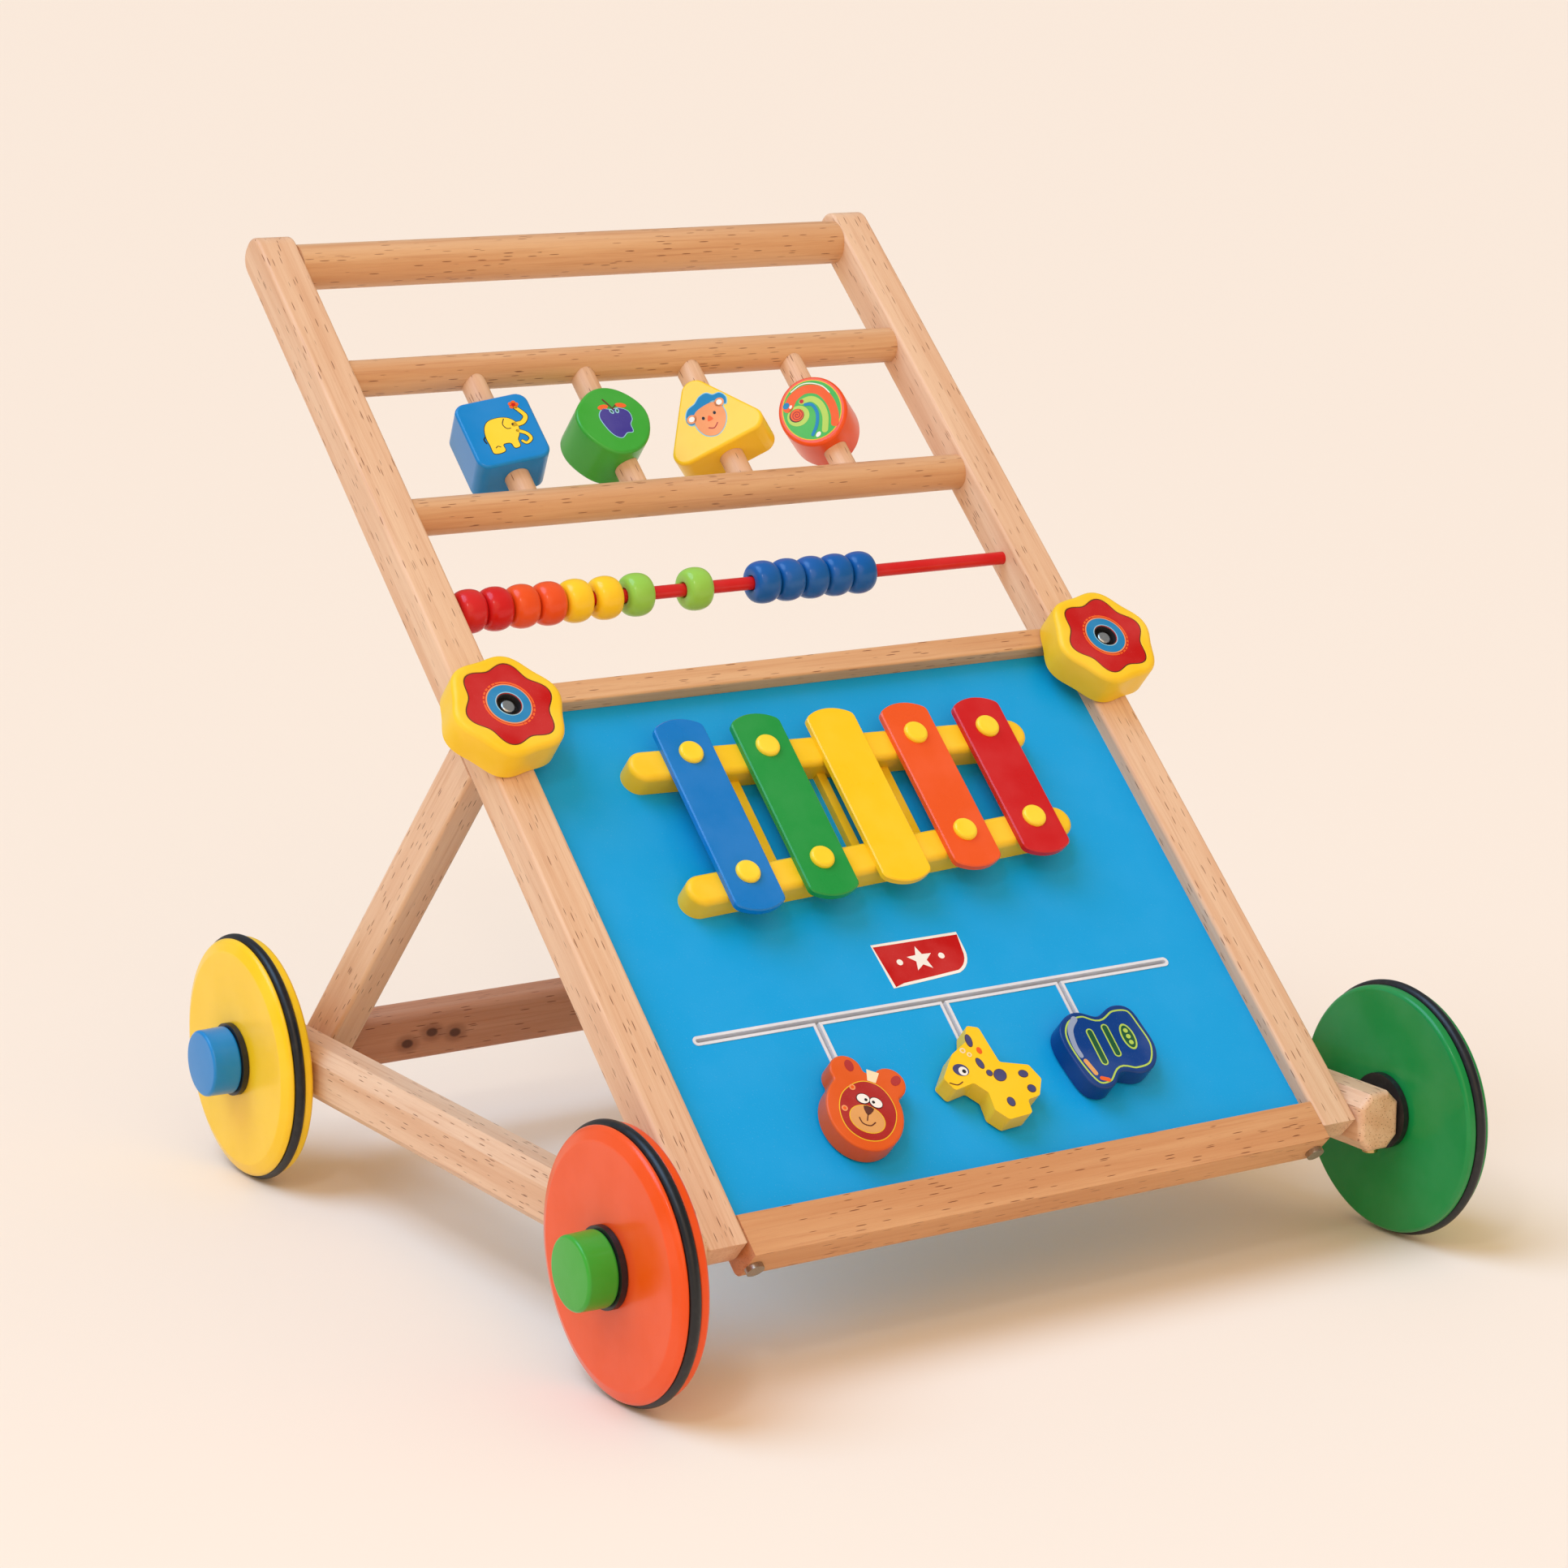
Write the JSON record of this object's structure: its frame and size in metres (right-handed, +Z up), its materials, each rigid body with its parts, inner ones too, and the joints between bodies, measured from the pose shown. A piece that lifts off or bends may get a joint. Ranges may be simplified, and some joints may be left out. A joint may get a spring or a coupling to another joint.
{
  "type": "baby walker",
  "caption": "Wooden push-along baby walker: leaning frame with handle, bead rod, spinning blocks, xylophone and sliding figures on a blue panel, on wheels.",
  "frame": {"origin": "centre of the footprint on the floor, midway between the axle lines and between the hub caps", "axes": "+Z up, X along the axles, -Y the direction of travel (the side the panel faces), +Y towards the child who pushes"},
  "size_m": [0.474, 0.4882, 0.4572],
  "materials": {
    "beech": "oiled",
    "steel": "polished",
    "brass": "polished",
    "black_plastic": "matte",
    "tyre_rubber": "matte",
    "panel_blue": "painted",
    "track_grey": "matte",
    "yellow_plastic": "gloss",
    "paint_yellow": "painted",
    "paint_orange": "painted",
    "paint_green": "painted",
    "paint_red": "painted",
    "paint_blue": "painted",
    "paint_dark_blue": "painted",
    "paint_lime": "painted",
    "bar_blue": "gloss",
    "bar_green": "gloss",
    "bar_yellow": "gloss",
    "bar_orange": "gloss",
    "bar_red": "gloss"
  },
  "bodies": {
    "walker_frame": {"stile_left": "beech", "stile_right": "beech", "handle_bar": "beech", "upper_rung": "beech", "lower_rung": "beech", "block_pegs": "beech", "panel_top_rail": "beech", "panel_bottom_rail": "beech", "side_rail_left": "beech", "side_rail_right": "beech", "back_leg_left": "beech", "back_leg_right": "beech", "rear_beam": "beech", "bead_rod": "paint_red", "activity_panel": "panel_blue", "figure_track": "track_grey", "xylophone_frame": "yellow_plastic", "bar_blue": "bar_blue", "bar_green": "bar_green", "bar_yellow": "bar_yellow", "bar_orange": "bar_orange", "bar_red": "bar_red", "xylophone_pins": "yellow_plastic", "axle_bolts": "steel", "clamp_bolts": "steel", "foot_screws": "steel", "rail_screws": "brass", "axle_spacers": "black_plastic", "hub_caps_front": "paint_green", "hub_caps_rear": "paint_blue"},
    "wheel_front_left_body": {"wheel_front_left": "paint_orange", "tyre_front_left": "tyre_rubber"},
    "wheel_front_right_body": {"wheel_front_right": "paint_green", "tyre_front_right": "tyre_rubber"},
    "wheel_rear_left_body": {"wheel_rear_left": "paint_yellow", "tyre_rear_left": "tyre_rubber"},
    "wheel_rear_right_body": {"wheel_rear_right": "paint_red", "tyre_rear_right": "tyre_rubber"},
    "bead_01_body": {"bead_01": "paint_red"},
    "bead_02_body": {"bead_02": "paint_red"},
    "bead_03_body": {"bead_03": "paint_orange"},
    "bead_04_body": {"bead_04": "paint_orange"},
    "bead_05_body": {"bead_05": "paint_yellow"},
    "bead_06_body": {"bead_06": "paint_yellow"},
    "bead_07_body": {"bead_07": "paint_lime"},
    "bead_08_body": {"bead_08": "paint_lime"},
    "bead_09_body": {"bead_09": "paint_dark_blue"},
    "bead_10_body": {"bead_10": "paint_dark_blue"},
    "bead_11_body": {"bead_11": "paint_dark_blue"},
    "bead_12_body": {"bead_12": "paint_dark_blue"},
    "bead_13_body": {"bead_13": "paint_dark_blue"},
    "block_square_body": {"block_square": "paint_blue"},
    "block_fruit_body": {"block_fruit": "paint_green"},
    "block_triangle_body": {"block_triangle": "paint_yellow"},
    "block_round_body": {"block_round": "paint_orange"},
    "figure_bear_body": {"figure_bear": "paint_orange"},
    "figure_giraffe_body": {"figure_giraffe": "paint_yellow"},
    "figure_guitar_body": {"figure_guitar": "paint_dark_blue"},
    "knob_left_body": {"knob_left": "yellow_plastic"},
    "knob_right_body": {"knob_right": "yellow_plastic"}
  },
  "joints": [
    {"name": "wheel_front_left_spin", "type": "hinge", "parent": "walker_frame", "child": "wheel_front_left_body", "pos_m": [-0.2112, -0.18313, 0.061], "axis": [1, 0, 0], "continuous": true},
    {"name": "wheel_front_right_spin", "type": "hinge", "parent": "walker_frame", "child": "wheel_front_right_body", "pos_m": [0.2112, -0.18313, 0.061], "axis": [1, 0, 0], "continuous": true},
    {"name": "wheel_rear_left_spin", "type": "hinge", "parent": "walker_frame", "child": "wheel_rear_left_body", "pos_m": [-0.2112, 0.18313, 0.061], "axis": [1, 0, 0], "continuous": true},
    {"name": "wheel_rear_right_spin", "type": "hinge", "parent": "walker_frame", "child": "wheel_rear_right_body", "pos_m": [0.2112, 0.18313, 0.061], "axis": [1, 0, 0], "continuous": true},
    {"name": "bead_01_slide", "type": "slide", "parent": "walker_frame", "child": "bead_01_body", "axis": [1, 0, 0], "range_m": [0, 0.0189]},
    {"name": "bead_02_slide", "type": "slide", "parent": "walker_frame", "child": "bead_02_body", "axis": [1, 0, 0], "range_m": [0, 0.0189]},
    {"name": "bead_03_slide", "type": "slide", "parent": "walker_frame", "child": "bead_03_body", "axis": [1, 0, 0], "range_m": [0, 0.0189]},
    {"name": "bead_04_slide", "type": "slide", "parent": "walker_frame", "child": "bead_04_body", "axis": [1, 0, 0], "range_m": [0, 0.0189]},
    {"name": "bead_05_slide", "type": "slide", "parent": "walker_frame", "child": "bead_05_body", "axis": [1, 0, 0], "range_m": [0, 0.0189]},
    {"name": "bead_06_slide", "type": "slide", "parent": "walker_frame", "child": "bead_06_body", "axis": [1, 0, 0], "range_m": [0, 0.0189]},
    {"name": "bead_07_slide", "type": "slide", "parent": "walker_frame", "child": "bead_07_body", "axis": [1, 0, 0], "range_m": [0, 0.0189]},
    {"name": "bead_08_slide", "type": "slide", "parent": "walker_frame", "child": "bead_08_body", "axis": [1, 0, 0], "range_m": [0, 0.0246]},
    {"name": "bead_09_slide", "type": "slide", "parent": "walker_frame", "child": "bead_09_body", "axis": [1, 0, 0], "range_m": [0, 0.0801]},
    {"name": "bead_10_slide", "type": "slide", "parent": "walker_frame", "child": "bead_10_body", "axis": [1, 0, 0], "range_m": [0, 0.0801]},
    {"name": "bead_11_slide", "type": "slide", "parent": "walker_frame", "child": "bead_11_body", "axis": [1, 0, 0], "range_m": [0, 0.0801]},
    {"name": "bead_12_slide", "type": "slide", "parent": "walker_frame", "child": "bead_12_body", "axis": [1, 0, 0], "range_m": [0, 0.0801]},
    {"name": "bead_13_slide", "type": "slide", "parent": "walker_frame", "child": "bead_13_body", "axis": [1, 0, 0], "range_m": [0, 0.0801]},
    {"name": "block_square_spin", "type": "hinge", "parent": "walker_frame", "child": "block_square_body", "pos_m": [-0.0906, 0.13615, 0.36083], "axis": [0, 0.729, 0.6845], "continuous": true},
    {"name": "block_fruit_spin", "type": "hinge", "parent": "walker_frame", "child": "block_fruit_body", "pos_m": [-0.0295, 0.13615, 0.36083], "axis": [0, 0.729, 0.6845], "continuous": true},
    {"name": "block_triangle_spin", "type": "hinge", "parent": "walker_frame", "child": "block_triangle_body", "pos_m": [0.0316, 0.13615, 0.36083], "axis": [0, 0.729, 0.6845], "continuous": true},
    {"name": "block_round_spin", "type": "hinge", "parent": "walker_frame", "child": "block_round_body", "pos_m": [0.0927, 0.13615, 0.36083], "axis": [0, 0.729, 0.6845], "continuous": true},
    {"name": "figure_bear_slide", "type": "slide", "parent": "walker_frame", "child": "figure_bear_body", "axis": [0, 0.729, 0.6845], "range_m": [0, 0.0429]},
    {"name": "figure_giraffe_slide", "type": "slide", "parent": "walker_frame", "child": "figure_giraffe_body", "axis": [0, 0.729, 0.6845], "range_m": [0, 0.0429]},
    {"name": "figure_guitar_slide", "type": "slide", "parent": "walker_frame", "child": "figure_guitar_body", "axis": [0, 0.729, 0.6845], "range_m": [0, 0.0429]},
    {"name": "knob_left_turn", "type": "hinge", "parent": "walker_frame", "child": "knob_left_body", "pos_m": [-0.16675, -0.00185, 0.25799], "axis": [0, -0.6845, 0.729], "continuous": true},
    {"name": "knob_right_turn", "type": "hinge", "parent": "walker_frame", "child": "knob_right_body", "pos_m": [0.16675, -0.00185, 0.25799], "axis": [0, -0.6845, 0.729], "continuous": true}
  ],
  "couplings": [
    {"joint": "bead_01_slide", "follows": "bead_07_slide", "ratio": 1},
    {"joint": "bead_02_slide", "follows": "bead_07_slide", "ratio": 1},
    {"joint": "bead_03_slide", "follows": "bead_07_slide", "ratio": 1},
    {"joint": "bead_04_slide", "follows": "bead_07_slide", "ratio": 1},
    {"joint": "bead_05_slide", "follows": "bead_07_slide", "ratio": 1},
    {"joint": "bead_06_slide", "follows": "bead_07_slide", "ratio": 1},
    {"joint": "bead_09_slide", "follows": "bead_13_slide", "ratio": 1},
    {"joint": "bead_10_slide", "follows": "bead_13_slide", "ratio": 1},
    {"joint": "bead_11_slide", "follows": "bead_13_slide", "ratio": 1},
    {"joint": "bead_12_slide", "follows": "bead_13_slide", "ratio": 1}
  ]
}
